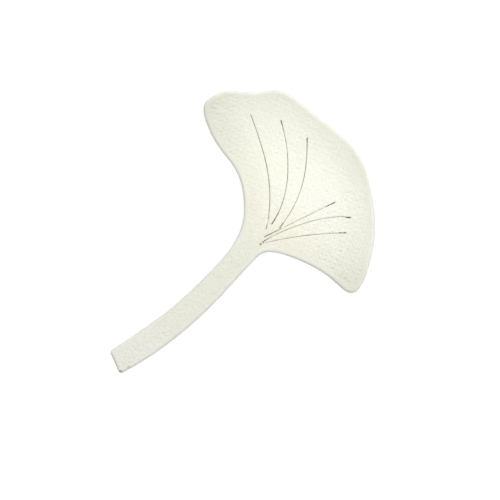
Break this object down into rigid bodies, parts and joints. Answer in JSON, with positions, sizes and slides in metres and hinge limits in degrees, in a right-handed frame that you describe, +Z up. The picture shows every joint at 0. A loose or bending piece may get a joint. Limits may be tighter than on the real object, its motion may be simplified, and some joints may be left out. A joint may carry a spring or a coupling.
{
  "type": "ceramic ginkgo leaf ornament",
  "caption": "Life-size ginkgo leaf cut from one slab of cream-white fired clay, gently cupped, with a cloth imprint, scored vein lines and a square-cut stem; it lies flat on its back.",
  "frame": {"origin": "middle of the leaf's box, on the surface that its flat underside lies on", "axes": "+Y from the stem's cut end to the fan's outer rim, +X to the lobe on the stem's right, +Z up out of the veined face"},
  "size_m": [0.0926, 0.1253, 0.0085],
  "materials": {
    "white_clay": "satin"
  },
  "bodies": {
    "root": {"leaf": "white_clay"}
  },
  "joints": []
}
